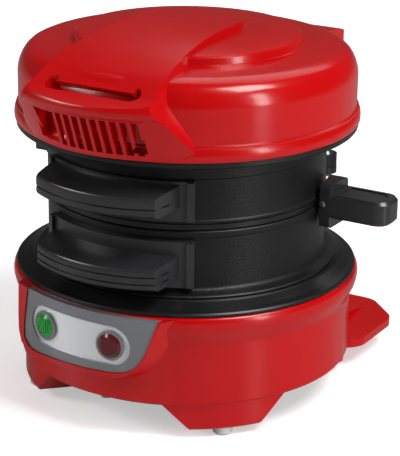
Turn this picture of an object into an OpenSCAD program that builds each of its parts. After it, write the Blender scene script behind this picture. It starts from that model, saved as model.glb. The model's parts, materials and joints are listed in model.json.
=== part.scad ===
// Breakfast sandwich maker: round base with a lower heating plate, two stacked
// cooking rings with a swinging plate between them, and a hinged heating lid.
// Z is up, -Y is the front (handles and control panel), +X is the side of the
// cooking plate's handle, +Y is the hinge. Z = 0 is the worktop. Millimetres.

/* [Part to show] */
// One node of the list, or all of them

/* [Overall] */
// Radius of the lid's rolled rim, the widest round part
rim_r = 83.5; // [76:0.5:92]
// Radius of the base body wall
body_r = 80; // [74:0.5:86]
// Height of the base's top edge, where the lower heating plate lies
base_top = 60.5; // [50:0.5:70]
// Height of the skirt's lower edge between the legs
skirt_z = 17; // [12:0.5:24]
// Wall thickness of the moulded housings
wall = 3; // [2:0.1:4]

/* [Feet and legs] */
// Distance of each rubber foot from the centre
foot_at = 73; // [60:0.5:76]
// Radius of a rubber foot
foot_r = 4.6; // [3:0.1:8]
// Height of the rubber foot below the leg
foot_h = 4; // [2:0.5:6]

/* [Control panel] */
// Angle of the panel's middle from the front
panel_turn = -6; // [-15:0.5:15]
// Distance of the panel's face from the centre, at its middle
panel_r = 84; // [82:0.1:87]
// Radius of the panel's own curve, flatter than the body
face_r = 110; // [96:1:140]
// Height of the two lamps
lamp_z = 45.2; // [38:0.1:48]
// Angle of each lamp to either side, along the panel's curve
lamp_turn = 10.1; // [8:0.1:13]
// Radius of a lamp lens
lens_r = 5.8; // [3:0.1:6.5]

/* [Rings and cooking plate] */
// Outer radius of both cooking rings
ring_r = 66.5; // [60:0.5:72]
// Inner radius of both cooking rings
ring_in = 60; // [50:0.5:64]
// Height of the seat of the lower ring
ring_z = 66; // [64:0.5:70]
// Height of the cooking plate's underside
plate_z = 96.4; // [90:0.1:104]
// Thickness of the cooking plate
plate_t = 3.3; // [2:0.1:5]
// Sideways place of the plate's pivot
pivot_x = 45; // [40:0.5:50]
// Rearward place of the plate's pivot
pivot_y = 57.5; // [50:0.5:62]

/* [Hinge] */
// Distance of the hinge axis behind the centre
hinge_y = 94; // [90:0.5:98]
// Height of the hinge axis
hinge_z = 124; // [118:0.5:128]
// Radius of the hinge pin
pin_r = 2.5; // [2:0.1:3.5]

/* [Lid] */
// Height of the lid's lower edge
lid_z = 132.4; // [128:0.1:138]
// Radius of the lid wall
lid_r = 79.8; // [74:0.1:82]
// Height of the lid's flat shoulder between its wall and the raised disc
crown_z = 168; // [160:0.5:172]
// Radius of the raised disc on the lid
disc_r = 53; // [40:0.5:60]
// Highest point of the raised strip that ends in the lid handle
top_z = 178.6; // [172:0.1:190]
// Half width of the strip over the lid's middle
strip_w = 24.7; // [18:0.1:32]
// Number of narrow windows in the handle's grille
fins = 9; // [6:1:12]

/* [Hidden] */
$fn = 96;
e = 0.02;
plate_top = plate_z + plate_t;
ring_top = 129.4;
pivot_d = sqrt(pivot_x*pivot_x + pivot_y*pivot_y);
body_in = body_r - wall;
cover_top = skirt_z + 1.2;
flange_r = rim_r - 1.5;
lid_rim = rim_r - 1.6;
face_c = face_r - panel_r;
nose_c = 19.5;
lip_c = 25;
red = [0.78, 0.06, 0.07];
black = [0.09, 0.09, 0.10];
steel = [0.72, 0.73, 0.75];

// The front turned by an angle towards +X, so that -Y points outwards there.
module at_turn(a) { rotate([0, 0, a]) children(); }

// A disc along the outward direction, from one radius to another.
module outward(r0, r1, rad, z) {
    translate([0, -r0, z]) rotate([90, 0, 0]) cylinder(r = rad, h = r1 - r0);
}

// A lamp's place: turned about the axis of the panel's own curve.
module lamp_place(s) {
    at_turn(panel_turn) translate([0, face_c, 0]) at_turn(s*lamp_turn) translate([0, -face_c, 0]) children();
}

// A round solid about the axis of the panel's own curve.
module on_face() { at_turn(panel_turn) translate([0, face_c, 0]) rotate_extrude($fn = 192) children(); }

// A sector of a ring between two angles from the front.
module sector(r0, r1, z0, z1, a0, a1) {
    rotate([0, 0, a0 - 90]) rotate_extrude(angle = a1 - a0)
        translate([r0, z0]) square([r1 - r0, z1 - z0]);
}

// A straight wire between two points, a little longer at both ends.
module rod(p, q, r) {
    d = q - p;
    l = norm(d);
    translate(p) rotate([0, acos(d[2]/l), atan2(d[1], d[0])]) translate([0, 0, -r*0.7])
        cylinder(r = r, h = l + r*1.4, $fn = 8);
}

// A screw standing on its point: shank up from z = 0, head below.
module screw(r, len, head_r, head_h) {
    cylinder(r = r, h = len, $fn = 24);
    translate([0, 0, -head_h]) difference() {
        cylinder(r1 = head_r - 0.5, r2 = head_r, h = head_h, $fn = 32);
        for (a = [0, 90]) rotate([0, 0, a]) translate([-head_r*0.6, -0.4, -1])
            cube([head_r*1.2, 0.8, 1.8]);
    }
}

// Places for the three screws that hold each heating plate.
module plate_places() { for (a = [60, 180, 300]) at_turn(a) translate([0, -73.2, 0]) children(); }

// Places for the four screws of the bottom cover.
module cover_places() { for (a = [0, 90, 180, 270]) at_turn(a) translate([0, -70.5, 0]) children(); }

module feet_places() { for (a = [45, 135, 225, 315]) at_turn(a) translate([0, -foot_at, 0]) children(); }

// ---- base ----

// Outline of the raised red surround where it meets the body.
module surround_2d() {
    polygon([[48.4, 60], [45.7, 53.4], [42.7, 43.2], [40.1, 36.8], [36.6, 31], [31.4, 26.6],
        [24.6, 23.8], [17.5, 22.9], [4.2, 22], [-10.7, 21.6], [-30.5, 21.8], [-38, 23.4],
        [-43.4, 27], [-45.6, 33.4], [-45.8, 42], [-45, 60]]);
}

// Outline of the grey panel.
module panel_2d() {
    offset(r = 3) offset(delta = -3)
        polygon([[43, 62.5], [41, 57.5], [38.8, 51], [36.6, 45], [34.2, 40], [31, 36], [26.5, 33.4],
            [20, 32.2], [3.5, 31.4], [-15, 30.6], [-25, 30], [-31, 30.2], [-35.4, 33.6], [-35.8, 39],
            [-34.6, 46], [-32.6, 56], [-31.4, 62.5]]);
}

// Anything drawn on the panel's front plane, pushed back through it.
module pushed(y0, y1) {
    at_turn(panel_turn) translate([0, -y0, 0]) rotate([90, 0, 0])
        linear_extrude(height = y1 - y0) children();
}

// A leg: a wedge with sloping sides between two radii.
module leg_shape(w, z0) {
    translate([0, -50, 0]) rotate([90, 0, 0]) linear_extrude(height = 40)
        polygon([[-w, z0], [w, z0], [w + skirt_z - z0 + 1.5, skirt_z + 1.5],
            [-w - skirt_z + z0 - 1.5, skirt_z + 1.5]]);
}

module base_outer() {
    rotate_extrude($fn = 144) polygon([[0, skirt_z], [body_r - 0.8, skirt_z],
        [body_r, skirt_z + 1], [body_r, 46], [body_r + 0.5, 48.2],
        [body_r + 1.7, 50.8], [body_r + 2.8, 53.2], [body_r + 3.4, 55.6],
        [body_r + 3.5, 57.6], [body_r + 3.2, 59.2], [body_r + 2.4, 60.2],
        [body_r + 1.9, base_top], [0, base_top]]);
}

module base_housing() color(red) difference() {
    union() {
        base_outer();
        // Raised surround of the panel, its sides drawn in towards its own flatter curve.
        intersection() {
            at_turn(panel_turn) translate([0, -63.5, 60]) rotate([90, 0, 0])
                linear_extrude(height = 24.5, scale = 0.8) translate([0, -60]) surround_2d();
            on_face() polygon([[60, 15], [face_r - 2, 15], [face_r + 0.4, 27],
                [face_r + 0.6, 31], [face_r + 0.6, base_top - 0.4], [60, base_top - 0.4]]);
        }
        for (a = [45, 135, 225, 315]) at_turn(a) intersection() {
            leg_shape(16.6, foot_h);
            rotate_extrude($fn = 144) polygon([[62, foot_h], [77.6, foot_h], [78.6, 5.2],
                [78.6, skirt_z + 1], [62, skirt_z + 1]]);
        }
    }
    // Hollow inside, open below, with the bosses of the cover and of the plate.
    difference() {
        rotate_extrude() polygon([[0, skirt_z - 0.1], [body_in - 2, skirt_z - 0.1],
            [body_in - 2, cover_top + 1], [body_in, cover_top + 1.6], [body_in, 80], [0, 80]]);
        cover_places() translate([0, 0, cover_top]) {
            cylinder(r = 4.5, h = 15);
            translate([-3, -8, 0]) cube([6, 8, 15]);
        }
        plate_places() translate([-6, -6, 47]) cube([12, 9, 6]);
    }
    // Inside of each leg.
    for (a = [45, 135, 225, 315]) at_turn(a) intersection() {
        leg_shape(12, foot_h + 3);
        rotate_extrude() translate([64.5, foot_h + 3]) square([76.1 - 64.5, 20]);
    }
    feet_places() cylinder(r = 2, h = 20, $fn = 32);
    cover_places() cylinder(r = 1.5, h = 30, $fn = 24);
    plate_places() cylinder(r = 2.05, h = 80, $fn = 24);
    plate_places() translate([0, 0, 30]) cylinder(r = 3.6, h = 17, $fn = 24);
    // Seat of the panel and the way through for the two lamps.
    difference() {
        pushed(40, 95) offset(delta = 0.2) panel_2d();
        on_face() translate([0, 10]) square([face_r - 3, 60]);
    }
    for (s = [-1, 1]) lamp_place(s) outward(60, 90, lens_r - 0.7, lamp_z);
    // Rear openings: cord gland and the two tower screws.
    at_turn(-152) outward(60, 90, 6, 34);
    for (x = [-12, 12]) translate([x, 60, 32]) rotate([-90, 0, 0]) cylinder(r = 1.8, h = 30, $fn = 24);
}

module base_cover() color([0.2, 0.2, 0.21]) difference() {
    translate([0, 0, skirt_z - 2.4]) cylinder(r = body_in - 2.3, h = cover_top - skirt_z + 2.4);
    // Vent slots.
    for (x = [-30 : 10 : 30]) translate([x - 2, -22, 10]) cube([4, 44, 12]);
    cover_places() cylinder(r = 1.8, h = 30, $fn = 24);
    for (a = [45, 135, 225, 315]) at_turn(a) intersection() {
        leg_shape(17.2, foot_h);
        rotate_extrude() translate([61.4, 2]) square([30, 20]);
    }
    for (x = [-14, 14]) translate([x, 66, 10]) cylinder(r = 1.5, h = 20, $fn = 24);
}

module base_feet() color([0.75, 0.75, 0.74]) feet_places() {
    difference() {
        union() {
            translate([0, 0, 0.8]) cylinder(r = foot_r, h = foot_h - 0.8, $fn = 40);
            cylinder(r1 = foot_r - 0.8, r2 = foot_r, h = 0.8 + e, $fn = 40);
        }
        translate([0, 0, -1]) cylinder(r = 1.6, h = 2, $fn = 24);
    }
    cylinder(r = 1.95, h = foot_h + 4, $fn = 32);
    translate([0, 0, foot_h + 3]) cylinder(r1 = 2.9, r2 = 1.6, h = 2, $fn = 32);
}

module control_panel() color([0.55, 0.56, 0.58]) difference() {
    union() {
        intersection() {
            pushed(50, 90) panel_2d();
            on_face() polygon([[face_r - 3, 18], [face_r - 0.5, 28], [face_r, 34],
                [face_r, base_top - 0.6], [face_r - 3, base_top - 0.6]]);
        }
        for (s = [-1, 1]) lamp_place(s) outward(81.2, 84.3, lens_r + 1.3, lamp_z);
    }
    // Long shallow strip around both lamps, left bare.
    difference() {
        pushed(50, 95) hull() for (s = [-1, 1])
            translate([s*(face_r*sin(lamp_turn) + 0.5), lamp_z]) circle(r = 9.4, $fn = 48);
        on_face() square([face_r - 0.8, 80]);
        for (s = [-1, 1]) lamp_place(s) outward(60, 95, lens_r + 1.3, lamp_z);
    }
    for (s = [-1, 1]) lamp_place(s) outward(60, 95, lens_r + 0.1, lamp_z);
}

// A lens with a low ribbed dome, its stem behind it.
module lens(s) {
    lamp_place(s) {
        outward(81.1, 84.2, lens_r, lamp_z);
        outward(76.4, 81.3, lens_r - 0.8, lamp_z);
        translate([0, -84.2, lamp_z]) rotate([90, 0, 0])
            cylinder(r1 = lens_r, r2 = lens_r - 1.6, h = 0.9, $fn = 48);
        for (x = [-3.2 : 1.6 : 3.2]) translate([x - 0.25, -85.5, lamp_z - sqrt(15 - x*x)])
            cube([0.5, 0.9, 2*sqrt(15 - x*x)]);
    }
}

module green_lens() color([0.1, 0.65, 0.2]) lens(-1);
module red_lens() color([0.7, 0.05, 0.08]) lens(1);

module neon_lamps() color([0.9, 0.75, 0.6]) for (s = [-1, 1]) lamp_place(s) {
    outward(64, 76.4, 2.8, lamp_z);
    outward(62, 65, 3.6, lamp_z);
    for (x = [-1.2, 1.2]) rod([x, -62.2, lamp_z], [x, -56, lamp_z - 2], 0.5);
}

module bottom_plate() color(black) difference() {
    rotate_extrude($fn = 144) polygon([[0, 59], [70, 59], [70, 53], [76.4, 53],
        [76.4, base_top], [flange_r - 0.4, base_top], [flange_r, base_top + 0.5],
        [flange_r, base_top + 1.4], [flange_r - 0.6, base_top + 2],
        [78.5, 63.4], [74.2, 65.4], [73.4, ring_z], [60.5, ring_z], [58.6, 64.4], [0, 64.4]]);
    plate_places() translate([0, 0, 50]) cylinder(r = 2.05, h = 8.5, $fn = 24);
}

// A tubular ring heater: most of a circle with two ends turned away.
module heater(z, down) {
    translate([0, 0, z]) rotate([0, 0, 105]) rotate_extrude(angle = 330)
        translate([45, 0]) circle(r = 4, $fn = 32);
    for (a = [105, 75]) rotate([0, 0, a]) translate([45, 0, z]) {
        translate([0, 0, down ? -14 : -4]) cylinder(r = 4.4, h = down ? 18 : 4 + 3.6, $fn = 32);
        translate([0, 0, down ? -16 : 0]) cylinder(r = 3, h = 16, $fn = 32);
        translate([-0.4, -2.4, down ? -21 : 15.9]) cube([0.8, 4.8, 5.1]);
    }
}

module bottom_element() color([0.45, 0.44, 0.42]) heater(55, true);

module bottom_reflector() color(steel) difference() {
    rotate_extrude($fn = 96) polygon([[0, 50.2], [68.2, 50.2], [69.4, 51.4], [69.4, 59],
        [68.6, 59], [68.6, 51.8], [67.8, 51], [0, 51]]);
    for (a = [105, 75]) rotate([0, 0, a]) translate([45, 0, 45]) cylinder(r = 4.8, h = 10, $fn = 32);
    translate([14, 8, 45]) cylinder(r = 6, h = 10, $fn = 32);
    for (a = [0, 120, 240]) rotate([0, 0, a]) translate([0, 25, 45]) cylinder(r = 2, h = 10, $fn = 24);
}

module bottom_thermostat() color([0.93, 0.92, 0.88]) translate([14, 8, 0]) {
    translate([0, 0, 53]) cylinder(r = 8, h = 6, $fn = 40);
    translate([0, 0, 48]) cylinder(r = 5, h = 5.1, $fn = 32);
    for (x = [-3.4, 2.6]) translate([x, -2.2, 43]) cube([0.8, 4.4, 5.1]);
}

module thermal_fuse() color([0.8, 0.72, 0.45]) {
    translate([-26, -8, 57]) rotate([0, 90, 0]) cylinder(r = 2, h = 14, $fn = 24);
    rod([-26, -8, 57], [-31, -8, 55], 0.5);
    rod([-12, -8, 57], [-7, -8, 55], 0.5);
}

module terminal_block() color([0.88, 0.87, 0.82]) translate([-30, 30, 19]) difference() {
    union() {
        cube([34, 14, 8]);
        for (i = [0 : 2]) translate([1.5 + i*11, 2, 8 - e]) cube([9, 10, 5]);
    }
    for (i = [0 : 2]) translate([6 + i*11, 7, 9]) cylinder(r = 2.4, h = 10, $fn = 24);
    for (i = [0 : 2]) translate([6 + i*11, -1, 4]) rotate([-90, 0, 0]) cylinder(r = 1.9, h = 20, $fn = 24);
}

module base_wiring() color([0.55, 0.1, 0.1]) {
    rod([-24, 31, 23], [-24, 26.9, 23], 1.3);
    rod([-24, 26.9, 23], [-24, 20, 30], 1.3);
    rod([-24, 20, 30], [9.2, 8.6, 38], 1.3);
    rod([9.2, 8.6, 38], [11, 8, 39.5], 1.3);
    rod([11, 8, 39.5], [11, 8, 42], 1.3);
    for (s = [-1, 1]) {
        x = s < 0 ? -13 : -2;
        rod([x, 31, 23], [x, 25, 23.5], 1.3);
        rod([x, 25, 23.5], [x, 26, 36], 1.3);
        rod([x, 26, 36], [s*11.6, 41.4, 36.3], 1.3);
    }
}

module cord_gland() color(black) at_turn(-152) difference() {
    union() {
        outward(75, 83, 5.9, 34);
        outward(80.6, 83, 8.4, 34);
        outward(83, 88, 5.4, 34);
        outward(74.6, 76.4, 7.6, 34);
    }
    outward(70, 95, 3.4, 34);
}

// Shelf behind the base, kept clear of the worktop, that the cord winds under.
module cord_wrap() color(red) difference() {
    union() {
        difference() {
            translate([0, 0, 10.5]) linear_extrude(height = 4) offset(r = 12) offset(delta = -12)
                polygon([[-72, 44], [72, 44], [72, 87], [53, 105], [-53, 105], [-72, 87]]);
            cylinder(r = 80.3, h = 40, $fn = 144);
        }
        translate([-21, 60, 10.5]) cube([42, 22, 4.1]);
        for (s = [-1, 1]) difference() {
            translate([s*52 - 1.5, 0, 14.4]) rotate([90, 0, 90]) linear_extrude(height = 3)
                polygon([[58, 0], [92, 0], [64, 5.5], [58, 5.5]]);
            cylinder(r = 80.3, h = 40, $fn = 144);
        }
    }
    for (x = [-14, 14]) translate([x, 66, 5]) cylinder(r = 1.6, h = 20, $fn = 24);
    translate([0, 70.5, 5]) cylinder(r = 3.8, h = 20, $fn = 32);
}

module cover_screws() color(steel) cover_places() translate([0, 0, skirt_z - 2.4])
    screw(1.45, 14, 3, 1.8);
module wrap_screws() color(steel) for (x = [-14, 14]) translate([x, 66, 10.5])
    screw(1.45, 8, 3, 1.8);
module plate_screws() color(steel) plate_places() translate([0, 0, 47]) screw(2, 11, 3.5, 2.2);

// ---- hinge ----

module hinge_tower() color(red) difference() {
    union() {
        translate([-22, 60, 20]) cube([44, 40, 50]);
        translate([-20, 60, 20]) cube([40, 38, 50]);
    }
    cylinder(r = body_r + 0.02, h = 46.2, $fn = 144);
    translate([0, 0, 46]) cylinder(r = body_r + 3.8, h = 60, $fn = 144);
    translate([-13.1, 87.9, 48]) cube([26.2, 9.2, 30]);
    for (s = [-1, 1]) translate([s*22, 100, 0]) rotate([0, 0, 45]) cube([3.2, 3.2, 200], center = true);
    for (x = [-12, 12]) translate([x, 60, 32]) rotate([-90, 0, 0]) cylinder(r = 1.5, h = 33, $fn = 24);
    for (x = [-7, 7]) translate([x, 85, 58]) rotate([-90, 0, 0]) cylinder(r = 1.8, h = 30, $fn = 24);
}

module hinge_bracket() color(black) difference() {
    union() {
        translate([-22, 86, 70]) cube([44, 14, 12]);
        translate([-13, 88, 49]) cube([26, 9, 22]);
        for (x = [-22, 14]) translate([x, 0, 0]) {
            translate([0, 86, 70]) cube([8, 14, 27]);
            translate([0, 86, 96]) cube([8, 13, 28]);
            translate([0, hinge_y, hinge_z]) rotate([0, 90, 0]) cylinder(r = 8, h = 8);
        }
    }
    translate([-30, hinge_y, hinge_z]) rotate([0, 90, 0]) cylinder(r = pin_r + 0.03, h = 60, $fn = 40);
    for (s = [-1, 1]) translate([s*22, 100, 0]) rotate([0, 0, 45]) cube([3.2, 3.2, 300], center = true);
    for (x = [-7, 7]) translate([x, 85, 58]) rotate([-90, 0, 0]) cylinder(r = 1.5, h = 30, $fn = 24);
}

module tower_screws() color(steel) {
    for (x = [-12, 12]) translate([x, sqrt(body_in*body_in - 144) - 0.6, 32]) rotate([-90, 0, 0])
        screw(1.45, 15, 3, 1.8);
    for (x = [-7, 7]) translate([x, 100, 58]) rotate([90, 0, 0]) screw(1.45, 10, 3, 1.8);
}

module hinge_pin() color(steel) translate([-23.4, hinge_y, hinge_z]) rotate([0, 90, 0]) difference() {
    cylinder(r = pin_r, h = 46.8, $fn = 40);
    translate([0, 0, -1]) cylinder(r = 1.2, h = 50, $fn = 24);
}

module pin_clips() color([0.35, 0.35, 0.37]) for (x = [-23.1, 22]) translate([x, hinge_y, hinge_z])
    rotate([0, 90, 0]) difference() {
        cylinder(r = 4.4, h = 1.1, $fn = 32);
        translate([0, 0, -1]) cylinder(r = pin_r, h = 4, $fn = 40);
    }

// ---- rings ----

// A knuckle around the hinge axis.
module knuckle(x0, x1, r) {
    translate([x0, hinge_y, hinge_z]) rotate([0, 90, 0]) cylinder(r = r, h = x1 - x0, $fn = 48);
}

module pin_hole() {
    translate([-40, hinge_y, hinge_z]) rotate([0, 90, 0]) cylinder(r = pin_r + 0.08, h = 80, $fn = 40);
}

module bottom_ring() color(black) difference() {
    union() {
        rotate_extrude($fn = 144) polygon([[ring_in + 0.8, ring_z], [72, ring_z], [72.3, ring_z + 0.6],
            [71.8, ring_z + 1.2], [68.6, 67.8], [67.2, 68.6], [ring_r, 69.8], [ring_r, 92.8],
            [ring_r + 0.5, 93.6], [ring_r + 0.5, 95.8], [ring_r + 0.1, plate_z - 0.15],
            [ring_in, plate_z - 0.15], [ring_in, ring_z + 2]]);
        // Arm that reaches up to the hinge.
        difference() {
            union() {
                translate([-4.1, 60, 84]) cube([8.2, 32, 10]);
                translate([-4.1, 86.5, 84]) cube([8.2, 10.5, 40]);
                knuckle(-4.1, 4.1, 5);
            }
            cylinder(r = ring_in + 2, h = 200);
        }
    }
    pin_hole();
    ring_screw_holes(80);
}

// Plan of a ring handle's lip, its left side a little longer than its right.
module lip_2d() {
    polygon([[-35.6, -55], [-34.8, -68], [-33.6, -76], [-30, -92], [28, -92],
        [31, -78], [32, -70], [33.6, -55]]);
}

// The broad lip of a ring handle: a bar on a tight curve with grooves round its edge.
module lip(z0, z1, grooves) {
    difference() {
        intersection() {
            translate([0, -lip_c, 0]) rotate_extrude($fn = 144) polygon(concat([[40, z0 + 2],
                [52, z0 + 1.1], [59.5, z0], [61.3, z0 + 0.8], [62, z0 + 1.8]],
                [for (g = grooves) each [[62, z0 + g - 0.4], [61.2, z0 + g - 0.3],
                    [61.2, z0 + g + 0.3], [62, z0 + g + 0.4]]],
                [[62, z1 - 1.6], [61.4, z1 - 0.6], [60, z1], [40, z1 + 3]]));
            linear_extrude(height = 200) lip_2d();
        }
        cylinder(r = ring_r + 1.1, h = 200, $fn = 144);
        for (g = grooves, s = [-1, 1]) translate([s*33 - 1.2, -72, z0 + g - 0.35])
            rotate([0, 0, s*7.5]) translate([-0.75, -10, 0]) cube([1.5, 24, 0.7]);
    }
}

module ring_handle(z0, z1, s0, s1, grooves) {
    lip(z0, z1, grooves);
    // Curved shield against the ring, with a rib at each end.
    sector(ring_r + 0.02, ring_r + 2.8, s0, s1, -34, 34);
    for (a = [-33.5, 31]) sector(ring_r + 1.5, ring_r + 4.4, s0 + 0.3, s1 - 0.3, a, a + 2.5);
}

module bottom_ring_handle() color(black) difference() {
    ring_handle(73, 83.8, 70.2, 92, [3.6, 7]);
    ring_screw_holes(80);
}

// Countersunk screws from inside a ring into its handle.
module ring_screws(z) {
    for (a = [-22, 22]) at_turn(a) translate([0, -ring_in - 0.15, z]) rotate([90, 0, 0]) {
        cylinder(r = 1.45, h = 13.5, $fn = 24);
        cylinder(r1 = 2.9, r2 = 1.45, h = 1.5, $fn = 32);
    }
}

// Their holes through the ring and into the handle.
module ring_screw_holes(z) {
    for (a = [-22, 22]) at_turn(a) translate([0, -ring_in + 1, z]) rotate([90, 0, 0]) {
        cylinder(r = 1.47, h = 15.5, $fn = 24);
        cylinder(r1 = 4, r2 = 1.47, h = 2.65, $fn = 32);
    }
}

module bottom_handle_screws() color(steel) ring_screws(80);

module top_ring() color(black) difference() {
    union() {
        rotate_extrude($fn = 144) polygon([[ring_in, plate_top + 0.15], [ring_r + 0.3, plate_top + 0.15],
            [ring_r + 0.5, plate_top + 0.5], [ring_r + 0.5, 101], [ring_r, 101.6], [ring_r, 120.4],
            [ring_r + 0.8, 121], [ring_r + 0.8, ring_top - 0.8], [ring_r, ring_top],
            [ring_in + 1, ring_top], [ring_in, ring_top - 2]]);
        difference() {
            union() for (x = [-8, 4.4]) {
                translate([x, 60, 112]) cube([3.6, 30, 14]);
                translate([x, 84, 118]) cube([3.6, 10, 8]);
                knuckle(x, x + 3.6, 5);
            }
            cylinder(r = ring_in + 2, h = 200);
            translate([-20, 87, 100]) rotate([0, 0, 0]) cube([40, 20, 18.8]);
        }
        // Boss over the cooking plate's pivot.
        difference() {
            translate([0, 0, plate_top + 0.2]) hull() {
                translate([pivot_x, pivot_y, 0]) cylinder(r = 5.8, h = 6.2, $fn = 32);
                translate([pivot_x*0.85, pivot_y*0.85, 0]) cylinder(r = 7, h = 6.2, $fn = 32);
            }
            cylinder(r = ring_in + 2, h = 200);
        }
    }
    pin_hole();
    translate([pivot_x, pivot_y, 90]) cylinder(r = 2.05, h = 30, $fn = 40);
    ring_screw_holes(111);
}

module top_ring_handle() color(black) difference() {
    ring_handle(107, 117, 101.7, 120.3, [4.6]);
    ring_screw_holes(111);
}

module top_handle_screws() color(steel) ring_screws(111);

// Side lug of the top ring, for lifting it from the left.
module ring_lug() color(black) difference() {
    union() {
        translate([-81, -11, 104.5]) cube([20, 22, 20]);
        translate([-82.6, -9, 107]) cube([20, 18, 17.5]);
        translate([-76, -9, 103]) cube([14, 18, 6]);
    }
    cylinder(r = ring_r + 0.82, h = 200, $fn = 144);
    translate([-90, -20, 108.2]) cube([9.6, 40, 0.8]);
}

// ---- cooking plate ----

module cooking_plate() color([0.16, 0.16, 0.17]) difference() {
    union() {
        rotate_extrude($fn = 144) polygon([[0, plate_z + 0.9], [56, plate_z + 0.9], [58, plate_z],
            [ring_r - 0.7, plate_z], [ring_r - 0.2, plate_z + 0.5], [ring_r - 0.2, plate_top - 0.5],
            [ring_r - 0.7, plate_top], [58, plate_top], [56, plate_top - 0.9], [0, plate_top - 0.9]]);
        translate([0, 0, plate_z]) hull() {
            translate([pivot_x, pivot_y, 0]) cylinder(r = 5.6, h = plate_t, $fn = 32);
            translate([pivot_x*0.8, pivot_y*0.8, 0]) cylinder(r = 8, h = plate_t, $fn = 32);
        }
        translate([pivot_x, pivot_y, plate_z]) cylinder(r = 5.9, h = plate_t, $fn = 48);
        // Tang that carries the handle.
        translate([55, 8, plate_z]) cube([17.4, 14, plate_t]);
    }
    translate([pivot_x, pivot_y, 80]) cylinder(r = 2.05, h = 30, $fn = 40);
    translate([70.2, 0, plate_z + plate_t/2]) rotate([-90, 0, 0]) cylinder(r = 1.1, h = 40, $fn = 24);
}

module plate_handle() color(black) difference() {
    union() {
        // Guard against the ring.
        translate([0, 15, 97]) rotate([0, 90, 0]) linear_extrude(height = 74)
            offset(r = 2.5) square([16, 14], center = true);
        // Grip with a round end.
        translate([0, 0, 91.7]) difference() {
            hull() {
                translate([70, 5.6, 1.4]) cube([20, 18.8, 8.8]);
                for (y = [12.6, 17.4]) {
                    translate([95.5, y, 1.4]) cylinder(r = 7, h = 8.8, $fn = 32);
                    translate([95.5, y, 0]) cylinder(r = 5.8, h = 11.6, $fn = 32);
                }
                translate([70, 6.8, 0]) cube([20, 16.4, 11.6]);
            }
            translate([77, 8.4, 10.9]) cube([15, 13.2, 4]);
            translate([92, 15, 10.9]) cylinder(r = 6.6, h = 4, $fn = 40);
        }
    }
    cylinder(r = ring_r + 2.4, h = 200, $fn = 144);
    translate([0, 7.9, plate_z - 0.02]) cube([72.5, 14.2, plate_t + 0.04]);
    translate([70.2, 0, plate_z + plate_t/2]) rotate([-90, 0, 0]) cylinder(r = 1.1, h = 40, $fn = 24);
}

module handle_pin() color(steel) translate([70.2, 5.4, plate_z + plate_t/2]) rotate([-90, 0, 0]) {
    cylinder(r = 1.08, h = 18.8, $fn = 24);
    translate([0, 0, -0.6]) cylinder(r1 = 0.9, r2 = 1.6, h = 0.61, $fn = 24);
}

module pivot_pin() color(steel) translate([pivot_x, pivot_y, 0]) {
    translate([0, 0, 95.4]) cylinder(r = 2, h = plate_top + 7.6 - 95.4, $fn = 40);
    translate([0, 0, 94.5]) cylinder(r1 = 3.2, r2 = 3.9, h = 1.8, $fn = 40);
    translate([0, 0, plate_top + 6.42]) cylinder(r1 = 3.8, r2 = 3, h = 1.3, $fn = 40);
}

// ---- lid ----

module lid_solid(extra = 0) {
    rotate_extrude($fn = 144) offset(delta = extra) polygon([[0, lid_z], [lid_rim - 0.8, lid_z],
        [lid_rim - 0.1, lid_z + 1], [lid_rim, lid_z + 2.8], [lid_rim - 0.2, lid_z + 4.8],
        [lid_rim - 1.1, lid_z + 6.2], [lid_r + 1.2, lid_z + 7], [lid_r + 0.1, lid_z + 7.6],
        [lid_r + 0.2, lid_z + 9], [lid_r + 0.2, crown_z - 12.5], [lid_r - 0.2, crown_z - 10],
        [lid_r - 0.9, crown_z - 7.8], [lid_r - 1.9, crown_z - 5.6], [lid_r - 3.2, crown_z - 3.6],
        [lid_r - 5, crown_z - 1.9], [lid_r - 7.5, crown_z - 0.8], [lid_r - 11, crown_z - 0.1],
        [disc_r + 2, crown_z + 0.9], [disc_r + 0.9, crown_z + 1.3], [disc_r + 0.2, crown_z + 4.2],
        [disc_r - 0.8, crown_z + 5.1], [40, crown_z + 6.5], [20, crown_z + 7.6],
        [0, crown_z + 8]]);
}

module lid_shell() color(red) difference() {
    union() {
        lid_solid();
        // Rear lug over the hinge.
        difference() {
            translate([-33, 0, 0]) rotate([90, 0, 90]) linear_extrude(height = 66)
                polygon([[60, lid_z + 1.4], [hinge_y + 9, lid_z + 1.4], [hinge_y + 9, 151], [102, 155.6],
                    [99, 158.4], [94, 160], [84, 161], [60, 161]]);
            for (s = [-1, 1]) translate([s*33, hinge_y + 9, 0]) rotate([0, 0, 45])
                cube([7, 7, 400], center = true);
        }
    }
    difference() {
        translate([0, 0, lid_z - 1]) rotate_extrude($fn = 96) polygon([[0, 0], [body_in - 0.5, 0],
            [lid_r - 3.1, 20], [lid_r - 4.2, crown_z - lid_z - 7], [lid_r - 8, crown_z - lid_z - 3],
            [0, crown_z - lid_z + 1.5]]);
        plate_places() translate([0, 0, 138.02]) cylinder(r = 4.4, h = 50, $fn = 32);
        plate_places() translate([-1.2, -4, 145]) cube([2.4, 4, 50]);
    }
    plate_places() translate([0, 0, 130]) cylinder(r = 1.9, h = 18, $fn = 24);
    // Pockets for the two hinge arms and the holes of their screws.
    for (x = [-13.7, 8.1]) translate([x, 88, 130]) cube([5.6, 12, 18]);
    for (y = [91, 97]) translate([-30, y, 143]) rotate([0, 90, 0]) cylinder(r = 1.45, h = 60, $fn = 24);
    for (y = [91, 97], s = [-1, 1]) translate([s*24, y, 143]) rotate([0, s*90, 0])
        cylinder(r = 2.95, h = 20, $fn = 32);
}

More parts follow.
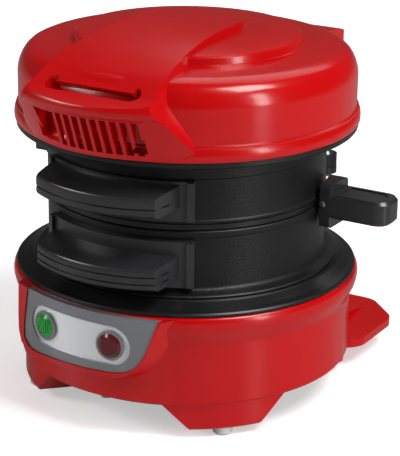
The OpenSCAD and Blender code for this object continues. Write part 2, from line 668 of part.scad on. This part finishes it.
// Plan of the strip that widens to the front into the handle.
module strip_2d() {
    polygon(concat([[47, -99], [47, -54], [28.3, -53], [27.6, -50], [26.5, -40], [25.7, -30], [25.2, -20], [24.9, -10], [strip_w, 0]],
        [for (a = [10 : 10 : 170]) [strip_w*cos(a), 2 + 25*sin(a)]],
        [[-strip_w, 0], [-24.9, -10], [-25.2, -20], [-25.7, -30], [-26.5, -40], [-27.6, -50],
        [-28.3, -53], [-47, -54], [-47, -99]]));
}

// Half widths of the handle seen from its front: sides that flare down to the rim.
flare = [[47, 130], [43.5, 141], [38, 150.3], [32.8, 158.6], [31.2, 164.6], [30, 168.6], [28.9, 171.5],
    [28.4, 200]];

// Windows of the grille; the leftmost is the wide one.
fin_pitch = 41.85/fins;
function fin_x(i) = -15.1 + i*fin_pitch;

module lid_handle() color(red) difference() {
    intersection() {
        translate([0, 0, 120]) linear_extrude(height = 80) strip_2d();
        translate([0, 100, 0]) rotate([90, 0, 0]) linear_extrude(height = 220)
            polygon(concat(flare, [for (i = [len(flare) - 1 : -1 : 0]) [-flare[i][0], flare[i][1]]]));
        // Side view of the strip, falling to the handle's lip.
        translate([-50, 0, 0]) rotate([90, 0, 90]) linear_extrude(height = 100)
            polygon([[30, 150], [30, top_z - 1.2], [20, top_z - 0.4], [10, top_z - 0.1], [0, top_z],
                [-10, top_z - 0.2], [-20, top_z - 0.7], [-30, top_z - 1.6], [-40, top_z - 2.9],
                [-50, top_z - 4.6], [-58, top_z - 6.5], [-65, top_z - 8.7], [-70, top_z - 10.6],
                [-76, top_z - 13.7], [-82, top_z - 16.9], [-88, top_z - 19.2], [-96, top_z - 20.7],
                [-96, 130], [0, 130]]);
        // Front of the handle, leaning back to the rim, on a tighter curve of its own.
        translate([0, -nose_c, 0]) rotate_extrude($fn = 144) polygon([[0, 100], [65, 100], [65, lid_z + 1.2],
            [72.3, 152.4], [74.4, 154], [75.2, 156], [75, 157.4], [74.4, 158.6], [73.4, 160.6],
            [73, 200], [0, 200]]);

    }
    lid_solid();
    translate([0, 0, lid_z - 20]) cylinder(r = 200, h = 21);
    // Room behind the fins and the windows between them.
    translate([-27.4, -82.8, 137]) cube([55.4, 10, 15]);
    translate([0, -75, 0]) rotate([90, 0, 0]) linear_extrude(height = 22)
        polygon([[-15.1, 136.6], [-15.1, 151.6], [-28.2, 151.6], [-25.8, 144], [-22.6, 136.6]]);
    for (i = [0 : fins - 1]) translate([fin_x(i) + 1.6, -97, 137 - 1.2]) cube([fin_pitch - 1.6, 22, 16.2]);
    // Finger slot over the lid's shoulder, with a rolled edge behind it.
    difference() {
        hull() for (s = [-1, 1]) translate([s*20.3, -80.6, 148]) cylinder(r = 4.2, h = 40, $fn = 32);
        translate([-19.5, -77.4, 162.9]) rotate([0, 90, 0]) cylinder(r = 2.3, h = 40, $fn = 32);
    }
}

module top_plate() color(black) difference() {
    rotate_extrude($fn = 144) polygon([[0, 125], [57.6, 125], [58.9, 126.3], [58.9, ring_top + 0.1],
        [80.4, ring_top + 0.1], [81, ring_top + 0.8], [81, lid_z - 0.4], [80.6, lid_z], [76.2, lid_z],
        [76.2, 138], [70, 138], [70, 131], [0, 131]]);
    plate_places() translate([0, 0, 120]) cylinder(r = 2, h = 30, $fn = 24);
    plate_places() translate([0, 0, ring_top]) cylinder(r1 = 3.7, r2 = 2, h = 1.9, $fn = 32);
}

module top_element() color([0.45, 0.44, 0.42]) heater(135, false);

module top_reflector() color(steel) difference() {
    rotate_extrude($fn = 96) polygon([[0, 139], [67.8, 139], [68.6, 138.2], [68.6, 131], [69.4, 131],
        [69.4, 138.6], [68.2, 139.8], [0, 139.8]]);
    for (a = [105, 75]) rotate([0, 0, a]) translate([45, 0, 130]) cylinder(r = 3.4, h = 20, $fn = 32);
}

module top_thermostat() color([0.93, 0.92, 0.88]) translate([14, 8, 0]) {
    translate([0, 0, 131]) cylinder(r = 8, h = 5, $fn = 40);
    translate([0, 0, 135.9]) cylinder(r = 5, h = 3.1, $fn = 32);
}

module lid_hinge_arms() color(steel) difference() {
    union() for (x = [-13.6, 8.2]) {
        translate([x, 88, hinge_z]) cube([5.4, 12, 148 - hinge_z]);
        knuckle(x, x + 5.4, 6);
    }
    pin_hole();
    for (y = [91, 97]) translate([-30, y, 143]) rotate([0, 90, 0]) cylinder(r = 1.45, h = 60, $fn = 24);
}

module lid_screws() color(steel) {
    plate_places() translate([0, 0, ring_top + 0.1]) {
        cylinder(r1 = 3.5, r2 = 1.85, h = 1.7, $fn = 32);
        cylinder(r = 1.85, h = 17, $fn = 24);
    }
    for (y = [91, 97]) {
        translate([-24, y, 143]) rotate([0, 90, 0]) screw(1.4, 16, 2.8, 1.2);
        translate([24, y, 143]) rotate([0, -90, 0]) screw(1.4, 16, 2.8, 1.2);
    }
}

base_housing();
base_cover();
base_feet();
control_panel();
green_lens();
red_lens();
neon_lamps();
bottom_plate();
bottom_element();
bottom_reflector();
bottom_thermostat();
thermal_fuse();
terminal_block();
base_wiring();
cord_gland();
cord_wrap();
cover_screws();
plate_screws();
wrap_screws();
hinge_tower();
hinge_bracket();
tower_screws();
hinge_pin();
pin_clips();
bottom_ring();
bottom_ring_handle();
bottom_handle_screws();
top_ring();
top_ring_handle();
top_handle_screws();
ring_lug();
cooking_plate();
plate_handle();
handle_pin();
pivot_pin();
lid_shell();
lid_handle();
top_plate();
top_element();
top_reflector();
top_thermostat();
lid_hinge_arms();
lid_screws();
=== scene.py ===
# %% [markdown]
# A breakfast sandwich maker stands on a pale studio floor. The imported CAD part
# is the frame of the scene: every piece made here takes its place from it and
# moves with one of its bodies, such as the lid or a cooking ring.

# %% Load the frame
import json
import math

import bpy
from mathutils import Matrix, Vector

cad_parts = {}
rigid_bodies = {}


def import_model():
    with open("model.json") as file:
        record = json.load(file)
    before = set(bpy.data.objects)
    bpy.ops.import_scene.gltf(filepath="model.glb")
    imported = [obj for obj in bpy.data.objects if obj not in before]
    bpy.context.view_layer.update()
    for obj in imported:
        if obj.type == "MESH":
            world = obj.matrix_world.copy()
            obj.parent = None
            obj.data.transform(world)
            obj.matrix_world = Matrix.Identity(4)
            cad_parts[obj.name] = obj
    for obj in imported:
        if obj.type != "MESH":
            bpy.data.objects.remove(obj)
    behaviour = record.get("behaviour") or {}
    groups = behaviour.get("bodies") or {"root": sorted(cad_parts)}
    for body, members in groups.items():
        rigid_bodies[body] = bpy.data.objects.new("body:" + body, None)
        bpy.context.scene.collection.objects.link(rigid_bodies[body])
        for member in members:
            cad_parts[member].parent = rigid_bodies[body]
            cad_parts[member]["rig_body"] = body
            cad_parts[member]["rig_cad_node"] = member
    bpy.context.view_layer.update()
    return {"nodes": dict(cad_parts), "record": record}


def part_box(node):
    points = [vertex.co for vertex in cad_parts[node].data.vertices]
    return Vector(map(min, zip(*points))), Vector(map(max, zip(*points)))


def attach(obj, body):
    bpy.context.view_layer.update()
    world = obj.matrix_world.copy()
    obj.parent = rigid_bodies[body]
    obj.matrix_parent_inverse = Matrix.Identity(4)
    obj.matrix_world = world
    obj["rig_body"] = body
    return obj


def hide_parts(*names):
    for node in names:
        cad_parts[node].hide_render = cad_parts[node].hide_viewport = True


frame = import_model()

mm = 0.001
SMOOTH_UNDER = math.radians(34)
nodes = frame["nodes"]
print("nodes:", len(nodes))

# %% [markdown]
# The camera stands in front and to the right, a little above the lid, far away
# with a long lens, so the round lid shows as a flat ellipse with little
# perspective. Its place is given by an azimuth, a height angle and a distance
# from the point that it looks at.

# %% Camera
TURN, RISE, ROLL = math.radians(30.43), math.radians(19.15), math.radians(0.78)
AWAY = 0.8875
LOOK_AT = Vector((5.72, 3.36, 74.92)) * mm
LENS = 144.4
NEAREST, FARTHEST = 0.05, 20.0


def make_camera():
    """A long lens that looks from the front right."""
    back = Vector((math.sin(TURN) * math.cos(RISE), -math.cos(TURN) * math.cos(RISE),
                   math.sin(RISE)))
    right = Vector((math.cos(TURN), math.sin(TURN), 0.0))
    up = back.cross(right)
    side = right * math.cos(ROLL) + up * math.sin(ROLL)
    top = up * math.cos(ROLL) - right * math.sin(ROLL)
    bpy.ops.object.camera_add()
    camera = bpy.context.active_object
    camera.name = "studio_camera"
    place = Matrix((side, top, back)).transposed().to_4x4()
    place.translation = LOOK_AT + back * AWAY
    camera.matrix_world = place
    camera.data.lens = LENS
    camera.data.clip_start, camera.data.clip_end = NEAREST, FARTHEST
    bpy.context.scene.camera = camera
    return camera


camera = make_camera()
bpy.context.scene.view_settings.view_transform = "Standard"
print("camera at", [round(v, 3) for v in camera.location])

# %% [markdown]
# Several finishes share effects: a fine moulded grain, soft clouds that vary
# the gloss, and a lightening of the convex edges. Each is a node group, made once,
# with inputs that every material sets for itself.

# %% Node group helpers


def new_group(name, inputs, outputs):
    """An empty shader node group with its sockets."""
    group = bpy.data.node_groups.new(name, "ShaderNodeTree")
    for label, kind, value in inputs:
        socket = group.interface.new_socket(label, in_out="INPUT", socket_type=kind)
        if value is not None:
            socket.default_value = value
    for label, kind in outputs:
        group.interface.new_socket(label, in_out="OUTPUT", socket_type=kind)
    return group, group.nodes.new("NodeGroupInput"), group.nodes.new("NodeGroupOutput")


def node(tree, kind, **settings):
    """A node with its properties and plain input values set."""
    made = tree.nodes.new(kind)
    for key, value in settings.items():
        if hasattr(made, key) and key not in made.inputs:
            setattr(made, key, value)
        else:
            made.inputs[key].default_value = value
    return made


def math_node(tree, operation, a, b=None, clamp=False):
    """A Math node whose operands are sockets or numbers."""
    made = tree.nodes.new("ShaderNodeMath")
    made.operation = operation
    made.use_clamp = clamp
    for at, operand in enumerate((a, b)):
        if operand is None:
            continue
        if isinstance(operand, (int, float)):
            made.inputs[at].default_value = operand
        else:
            tree.links.new(operand, made.inputs[at])
    return made.outputs[0]


# %% Grain, clouds and lighter edges
FLOAT, COLOR, VECTOR = "NodeSocketFloat", "NodeSocketColor", "NodeSocketVector"


def make_grain():
    """Fine moulded or sprayed grain: a height and a matching speckle mask."""
    group, given, result = new_group(
        "moulded grain",
        [("Vector", VECTOR, None), ("Size", FLOAT, 900.0), ("Softness", FLOAT, 0.5)],
        [("Height", FLOAT), ("Speckle", FLOAT)])
    fine = node(group, "ShaderNodeTexNoise", Detail=3.0, Roughness=0.6)
    cells = node(group, "ShaderNodeTexVoronoi", feature="F1")
    for texture in (fine, cells):
        group.links.new(given.outputs["Vector"], texture.inputs["Vector"])
        group.links.new(given.outputs["Size"], texture.inputs["Scale"])
    cell_height = math_node(group, "MULTIPLY", cells.outputs["Distance"],
                            given.outputs["Softness"])
    height = math_node(group, "ADD", fine.outputs["Fac"], cell_height)
    group.links.new(height, result.inputs["Height"])
    speckle = node(group, "ShaderNodeMapRange")
    speckle.inputs["From Min"].default_value = 0.35
    speckle.inputs["From Max"].default_value = 0.65
    group.links.new(fine.outputs["Fac"], speckle.inputs["Value"])
    group.links.new(speckle.outputs["Result"], result.inputs["Speckle"])
    return group


def make_clouds():
    """Large soft patches between two values, for gloss that is not even."""
    group, given, result = new_group(
        "soft clouds",
        [("Vector", VECTOR, None), ("Size", FLOAT, 25.0), ("Low", FLOAT, 0.2),
         ("High", FLOAT, 0.3)],
        [("Value", FLOAT)])
    noise = node(group, "ShaderNodeTexNoise", Detail=4.0, Roughness=0.55)
    group.links.new(given.outputs["Vector"], noise.inputs["Vector"])
    group.links.new(given.outputs["Size"], noise.inputs["Scale"])
    spread = node(group, "ShaderNodeMapRange")
    spread.inputs["From Min"].default_value = 0.3
    spread.inputs["From Max"].default_value = 0.7
    group.links.new(noise.outputs["Fac"], spread.inputs["Value"])
    group.links.new(given.outputs["Low"], spread.inputs["To Min"])
    group.links.new(given.outputs["High"], spread.inputs["To Max"])
    group.links.new(spread.outputs["Result"], result.inputs["Value"])
    return group


def make_edge_lightening():
    """Lightens the convex edges a little, broken up by noise."""
    group, given, result = new_group(
        "lighter convex edges",
        [("Vector", VECTOR, None), ("Color", COLOR, (0.5, 0.5, 0.5, 1.0)),
         ("Worn Color", COLOR, (0.8, 0.8, 0.8, 1.0)), ("Amount", FLOAT, 0.3)],
        [("Color", COLOR), ("Mask", FLOAT)])
    geometry = group.nodes.new("ShaderNodeNewGeometry")
    edges = node(group, "ShaderNodeMapRange")
    edges.inputs["From Min"].default_value = 0.51
    edges.inputs["From Max"].default_value = 0.60
    group.links.new(geometry.outputs["Pointiness"], edges.inputs["Value"])
    noise = node(group, "ShaderNodeTexNoise", Scale=160.0, Detail=3.0)
    group.links.new(given.outputs["Vector"], noise.inputs["Vector"])
    broken = math_node(group, "MULTIPLY", edges.outputs["Result"], noise.outputs["Fac"])
    mask = math_node(group, "MULTIPLY", broken, given.outputs["Amount"], clamp=True)
    mix = node(group, "ShaderNodeMix", data_type="RGBA")
    group.links.new(mask, mix.inputs["Factor"])
    group.links.new(given.outputs["Color"], mix.inputs[6])
    group.links.new(given.outputs["Worn Color"], mix.inputs[7])
    group.links.new(mix.outputs[2], result.inputs["Color"])
    group.links.new(mask, result.inputs["Mask"])
    return group


GRAIN, CLOUDS, LIGHTER_EDGES = make_grain(), make_clouds(), make_edge_lightening()
print("node groups:", [g.name for g in bpy.data.node_groups])

# %% [markdown]
# A finish here is a Principled BSDF fed by those groups. Object coordinates are
# in metres, and every piece's mesh stands where the piece is, so one scale
# gives the same grain on every piece of a finish.

# %% Materials


def place_group(tree, group, coords, **values):
    """A node group with its values set and its Vector linked."""
    made = tree.nodes.new("ShaderNodeGroup")
    made.node_tree = group
    tree.links.new(coords, made.inputs["Vector"])
    for key, value in values.items():
        made.inputs[key.replace("_", " ")].default_value = value
    return made


def finish(name, color, gloss, grain_size=900.0, bump=0.1, depth=0.00005, tone=0.06,
           metallic=0.0, coat=0.0, coat_gloss=0.05, edge_tint=None, edge_amount=0.25, specular=0.5,
           softness=0.5, cloud_size=25.0):
    """A plastic, coated or bare metal surface with grain, clouds and lighter convex edges."""
    material = bpy.data.materials.new(name)
    material.use_nodes = True
    tree = material.node_tree
    shader = tree.nodes["Principled BSDF"]
    coords = tree.nodes.new("ShaderNodeTexCoord").outputs["Object"]
    low, high = gloss
    clouds = place_group(tree, CLOUDS, coords, Size=cloud_size, Low=low, High=high)
    tree.links.new(clouds.outputs["Value"], shader.inputs["Roughness"])
    shade = place_group(tree, CLOUDS, coords, Size=cloud_size * 0.6, Low=1.0 - tone,
                        High=1.0 + tone)
    grain = place_group(tree, GRAIN, coords, Size=grain_size, Softness=softness)
    tinted = node(tree, "ShaderNodeVectorMath", operation="SCALE")
    tinted.inputs[0].default_value = color
    tree.links.new(shade.outputs["Value"], tinted.inputs["Scale"])
    edge = place_group(tree, LIGHTER_EDGES, coords, Amount=edge_amount,
                       Worn_Color=(*(edge_tint or [min(1.0, c * 1.8 + 0.04) for c in color]), 1.0))
    tree.links.new(tinted.outputs[0], edge.inputs["Color"])
    tree.links.new(edge.outputs["Color"], shader.inputs["Base Color"])
    relief = node(tree, "ShaderNodeBump", Strength=bump, Distance=depth)
    tree.links.new(grain.outputs["Height"], relief.inputs["Height"])
    tree.links.new(relief.outputs["Normal"], shader.inputs["Normal"])
    shader.inputs["Metallic"].default_value = metallic
    shader.inputs["Coat Weight"].default_value = coat
    shader.inputs["Coat Roughness"].default_value = coat_gloss
    shader.inputs["Specular IOR Level"].default_value = specular
    return material


red_plastic = finish("glossy red plastic", (0.47, 0.0007, 0.0018), (0.19, 0.26), 260.0, 0.04,
                     0.00008, 0.03, coat=0.14, coat_gloss=0.05, edge_tint=(0.66, 0.02, 0.02),
                     edge_amount=0.15, specular=0.34)
black_plastic = finish("satin black plastic", (0.020, 0.020, 0.0215), (0.26, 0.36), 1500.0,
                       0.18, 0.00006, 0.10, edge_tint=(0.05, 0.05, 0.052), specular=0.6)
coated_metal = finish("non-stick coated cast metal", (0.0060, 0.0060, 0.0068), (0.38, 0.48),
                      1100.0, 0.6, 0.00014, 0.12, edge_tint=(0.025, 0.025, 0.028), softness=0.9,
                      specular=0.34)
plate_coat = finish("smooth non-stick coat", (0.0065, 0.0065, 0.0072), (0.30, 0.40), 1800.0, 0.2,
                    0.00005, 0.1, edge_tint=(0.02, 0.02, 0.022), specular=0.4)
panel_grey = finish("metallic grey panel", (0.20, 0.205, 0.22), (0.28, 0.36), 2600.0, 0.12,
                    0.00003, 0.05, metallic=0.35, coat=0.3, coat_gloss=0.12,
                    edge_tint=(0.3, 0.3, 0.32))
# The strip's light base colour is a painted reflection; its gloss and metal are its own.
strip_with_painted_reflection = finish("panel strip with painted reflection", (0.82, 0.83, 0.85), (0.20, 0.28), 2600.0,
                     0.06, 0.00002, 0.04, metallic=0.5, edge_tint=(0.9, 0.9, 0.92))
steel = finish("plain steel", (0.30, 0.30, 0.31), (0.28, 0.38), 2200.0, 0.12, 0.00003, 0.05,
               metallic=1.0)
heater_steel = finish("oxidised heater tube", (0.16, 0.14, 0.13), (0.45, 0.6), 900.0, 0.4,
                      0.0001, 0.2, metallic=0.8)
ceramic = finish("pale ceramic", (0.75, 0.74, 0.70), (0.35, 0.5), 1400.0, 0.2, 0.00005, 0.04)
wire_sleeve = finish("insulated wire", (0.25, 0.02, 0.02), (0.4, 0.5), 1500.0, 0.2, 0.00005)
foot_rubber = finish("pale foot rubber", (0.55, 0.55, 0.53), (0.5, 0.62), 1200.0, 0.3,
                     0.00008, 0.06)
print("finishes:", len(bpy.data.materials))

# %% [markdown]
# The two lamps on the panel shine through ribbed coloured lenses. A lens is
# clear coloured plastic over a bright lamp: here a deep colour with a glossy
# coat and a soft glow in its middle, which shows as it does in daylight.

# %% Lens materials


def lens_material(name, color, glow, centre):
    """Coloured lens with a glow that fades from its middle."""
    material = bpy.data.materials.new(name)
    material.use_nodes = True
    tree = material.node_tree
    shader = tree.nodes["Principled BSDF"]
    shader.inputs["Roughness"].default_value = 0.16
    shader.inputs["Coat Weight"].default_value = 0.6
    shader.inputs["Emission Strength"].default_value = 1.0
    coords = tree.nodes.new("ShaderNodeTexCoord").outputs["Object"]
    spot = node(tree, "ShaderNodeMapping")
    spot.inputs["Location"].default_value = [-c for c in centre]
    tree.links.new(coords, spot.inputs["Vector"])
    far = node(tree, "ShaderNodeVectorMath", operation="LENGTH")
    tree.links.new(spot.outputs["Vector"], far.inputs[0])
    fade = node(tree, "ShaderNodeMapRange")
    for label, value in (("From Min", 0.0), ("From Max", 0.0058), ("To Min", 1.0),
                         ("To Max", 0.08)):
        fade.inputs[label].default_value = value
    tree.links.new(far.outputs["Value"], fade.inputs["Value"])
    facets = node(tree, "ShaderNodeTexVoronoi", Scale=700.0)
    tree.links.new(coords, facets.inputs["Vector"])
    sparkle = node(tree, "ShaderNodeMapRange")
    sparkle.inputs["To Min"].default_value = 0.55
    sparkle.inputs["To Max"].default_value = 1.3
    tree.links.new(facets.outputs["Distance"], sparkle.inputs["Value"])
    level = math_node(tree, "MULTIPLY", fade.outputs["Result"], sparkle.outputs["Result"])
    lit = node(tree, "ShaderNodeVectorMath", operation="SCALE")
    lit.inputs[0].default_value = glow
    tree.links.new(level, lit.inputs["Scale"])
    tree.links.new(lit.outputs[0], shader.inputs["Emission Color"])
    tint = node(tree, "ShaderNodeVectorMath", operation="SCALE")
    tint.inputs[0].default_value = color
    tree.links.new(sparkle.outputs["Result"], tint.inputs["Scale"])
    tree.links.new(tint.outputs[0], shader.inputs["Base Color"])
    return material


def middle(name):
    """Middle of a CAD node's box."""
    low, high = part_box(name)
    return (low + high) / 2


green_lens = lens_material("green lens", (0.01, 0.26, 0.03), (0.01, 0.30, 0.05),
                           middle("green_lens"))
red_lens = lens_material("red lens", (0.10, 0.004, 0.008), (0.10, 0.006, 0.010),
                         middle("red_lens"))
print("lens middles:", [round(v, 4) for v in middle("green_lens")])

# %% [markdown]
# Moulded plastic has no knife edges. The main shown CAD pieces, listed below,
# are copied: their loose triangles are merged into faces, their sharp edges get
# a small bevel, and each copy stands for its CAD node. The bevel catches the
# light as a real edge does.

# %% Softened copies of the CAD pieces
SAME_POINT = 0.002 * mm


def only(thing):
    """Deselect everything but one object, and make it the active one."""
    bpy.ops.object.select_all(action="DESELECT")
    thing.select_set(True)
    bpy.context.view_layer.objects.active = thing


def join_loose(thing, flat=0.4):
    """Merge a mesh's loose triangles and the flat faces among them."""
    only(thing)
    bpy.ops.object.mode_set(mode="EDIT")
    bpy.ops.mesh.select_all(action="SELECT")
    bpy.ops.mesh.remove_doubles(threshold=SAME_POINT)
    bpy.ops.mesh.dissolve_limited(angle_limit=math.radians(flat))
    bpy.ops.object.mode_set(mode="OBJECT")


def softened(name, material, edge=0.5, steps=2, sharp=32.0):
    """A finished copy of a CAD node with rounded edges, riding on its body."""
    source = nodes[name]
    only(source)
    bpy.ops.object.duplicate()
    piece = bpy.context.active_object
    piece.name = name + "_piece"
    piece.parent = None
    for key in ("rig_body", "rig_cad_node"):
        if key in piece:
            del piece[key]
    join_loose(piece)
    bevel = piece.modifiers.new("edges", "BEVEL")
    bevel.width = edge * mm
    bevel.segments = steps
    bevel.limit_method = "ANGLE"
    bevel.angle_limit = math.radians(sharp)
    bevel.use_clamp_overlap = True
    bpy.ops.object.modifier_apply(modifier="edges")
    bpy.ops.object.shade_smooth_by_angle(angle=SMOOTH_UNDER)
    even = piece.modifiers.new("even shading", "WEIGHTED_NORMAL")
    even.keep_sharp = True
    bpy.ops.object.modifier_apply(modifier="even shading")
    piece.data.materials.clear()
    piece.data.materials.append(material)
    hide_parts(name)
    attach(piece, body_of_node[name])
    return piece


body_of_node = {n: body for body, members in frame["record"]["behaviour"]["bodies"].items()
                for n in members}
slot_of_node = {s["node"]: s["material_slot"] for s in frame["record"]["subparts"]}

soft_pieces = {}
for name, material, edge in (
        ("base_housing", red_plastic, 0.5), ("cord_wrap", red_plastic, 0.5),
        ("hinge_tower", red_plastic, 0.8), ("lid_shell", red_plastic, 0.5),
        ("lid_handle", red_plastic, 0.45), ("control_panel", panel_grey, 0.3),
        ("hinge_bracket", black_plastic, 0.6), ("bottom_ring_handle", black_plastic, 0.4),
        ("top_ring_handle", black_plastic, 0.4), ("ring_lug", black_plastic, 0.6),
        ("plate_handle", black_plastic, 0.5), ("cord_gland", black_plastic, 0.3),
        ("top_ring", coated_metal, 0.3), ("bottom_ring", coated_metal, 0.3)):
    soft_pieces[name] = softened(name, material, edge)
    print(name, "faces:", len(soft_pieces[name].data.polygons))

# %% [markdown]
# The two lamps sit in a long shallow strip of the panel, a little glossier than
# the satin panel around it. The faces of its floor and of the bezels get a second
# material whose light colour, much lighter than the panel, is a painted reflection.

# %% Strip with a painted reflection
panel = soft_pieces["control_panel"].data
panel.materials.append(strip_with_painted_reflection)
PANEL_TURN, FACE_R, PANEL_R = math.radians(-6.0), 110.0, 84.0
STRIP_DEPTH, FACING_OUT = 0.55, 0.7
axis = Vector((-math.sin(PANEL_TURN), math.cos(PANEL_TURN), 0.0)) * (FACE_R - PANEL_R) * mm
strip_faces = 0
for face in panel.polygons:
    across = Vector((face.center.x - axis.x, face.center.y - axis.y))
    outward = face.normal.x * across.x + face.normal.y * across.y
    sunk = across.length < (FACE_R - STRIP_DEPTH) * mm
    if sunk and outward > FACING_OUT * across.length:
        face.material_index = 1
        strip_faces += 1
print("strip faces with painted reflection:", strip_faces)

# %% [markdown]
# The other CAD pieces are right as they are: plates, screws, feet, heaters and
# what lies inside. They only need their finish.

# %% Finishes of the CAD pieces
FINISH_OF_SLOT = {
    "red_plastic": red_plastic, "black_plastic": black_plastic, "panel_grey": panel_grey,
    "dark_metal": plate_coat, "steel": steel, "element_steel": heater_steel,
    "green_lens": green_lens, "red_lens": red_lens, "lamp_glass": ceramic,
    "ceramic": ceramic, "wire": wire_sleeve, "foot_rubber": foot_rubber}

for name, thing in nodes.items():
    if name in soft_pieces:
        continue
    only(thing)
    bpy.ops.object.shade_smooth_by_angle(angle=SMOOTH_UNDER)
    thing.data.materials.clear()
    thing.data.materials.append(FINISH_OF_SLOT[slot_of_node[name]])
print("CAD pieces with their own finish:", len(nodes) - len(soft_pieces))

# %% [markdown]
# The studio is a wide pale floor and five soft lights: a high one that draws the
# highlights, a broad one above and behind, one from the left, a small one near
# the handles and a tall narrow one on the right. The world is weak. The floor
# keeps the soft shadow under the object and turns white farther away: its glow
# is weaker near the object, which is painted shade around it. Glossy
# surfaces mirror it darker than it is, as if black card stood around the object,
# which keeps the red deep.

# %% Floor and lights
FLOOR_SIZE, FLOOR_LOW = 14.0, -0.0002
PAPER, PAPER_MIRRORED, GLOW_MIRRORED = 0.86, 0.28, 0.10
WHITE = (1, 1, 1, 1)


def make_floor():
    """A wide pale floor that turns white far away, with painted shade near the object."""
    bpy.ops.object.select_all(action="DESELECT")
    bpy.ops.mesh.primitive_plane_add(size=FLOOR_SIZE, location=(0, 0, FLOOR_LOW))
    floor = bpy.context.active_object
    floor.name = "studio_floor"
    material = bpy.data.materials.new("pale studio floor")
    material.use_nodes = True
    tree = material.node_tree
    shader = tree.nodes["Principled BSDF"]
    shader.inputs["Roughness"].default_value = 0.32
    shader.inputs["Specular IOR Level"].default_value = 0.25
    path = tree.nodes.new("ShaderNodeLightPath")
    paper = node(tree, "ShaderNodeMapRange")
    paper.inputs["To Min"].default_value = PAPER
    paper.inputs["To Max"].default_value = PAPER_MIRRORED
    tree.links.new(path.outputs["Is Glossy Ray"], paper.inputs["Value"])
    tree.links.new(paper.outputs["Result"], shader.inputs["Base Color"])
    mirrored = math_node(tree, "MULTIPLY", path.outputs["Is Glossy Ray"], GLOW_MIRRORED)
    seen = math_node(tree, "MAXIMUM", path.outputs["Is Camera Ray"], mirrored)
    coords = tree.nodes.new("ShaderNodeTexCoord").outputs["Object"]
    away = node(tree, "ShaderNodeVectorMath", operation="LENGTH")
    tree.links.new(coords, away.inputs[0])
    # The glow grows with distance from the object, so the floor near it is darker: painted shade
    # around the object.
    spread = node(tree, "ShaderNodeMapRange")
    for label, value in (("From Min", 0.12), ("From Max", 0.75), ("To Min", 0.46),
                         ("To Max", 0.92)):
        spread.inputs[label].default_value = value
    tree.links.new(away.outputs["Value"], spread.inputs["Value"])
    glow_with_painted_shade = math_node(tree, "MULTIPLY", seen, spread.outputs["Result"])
    shader.inputs["Emission Color"].default_value = WHITE
    tree.links.new(glow_with_painted_shade, shader.inputs["Emission Strength"])
    floor.data.materials.append(material)
    return floor


def soft_light(name, place, aim, size, power, height=None):
    """A rectangular studio light that faces a point."""
    bpy.ops.object.light_add(type="AREA", location=place)
    light = bpy.context.active_object
    light.name = name
    light.data.shape = "RECTANGLE"
    light.data.size = size
    light.data.size_y = height or size
    light.data.energy = power
    light.rotation_euler = (Vector(aim) - Vector(place)).to_track_quat("-Z", "Y").to_euler()
    return light


def make_world():
    """White to the camera and weak for the object."""
    world = bpy.data.worlds.new("studio")
    world.use_nodes = True
    tree = world.node_tree
    back = tree.nodes["Background"]
    path = tree.nodes.new("ShaderNodeLightPath")
    seen = math_node(tree, "MAXIMUM", path.outputs["Is Camera Ray"],
                     path.outputs["Is Transmission Ray"])
    level = node(tree, "ShaderNodeMapRange")
    level.inputs["To Min"].default_value = 0.065
    level.inputs["To Max"].default_value = 1.0
    tree.links.new(seen, level.inputs["Value"])
    tree.links.new(level.outputs["Result"], back.inputs["Strength"])
    back.inputs["Color"].default_value = WHITE
    bpy.context.scene.world = world


floor = make_floor()
make_world()
soft_light("key_light", (0.80, -0.05, 1.25), (0, 0, 0.1), 0.55, 16.5)
soft_light("over_light", (-0.2, 1.0, 1.5), (0, 0, 0.1), 1.3, 6.5)
soft_light("left_light", (-1.45, -1.0, 0.95), (0, 0, 0.08), 0.5, 8.0)
soft_light("table_light", (-0.55, -0.62, 0.50), (0, -0.07, 0.09), 0.30, 1.6)
soft_light("right_light", (1.40, -0.25, 0.50), (0, 0, 0.1), 0.22, 8.0, 0.9)
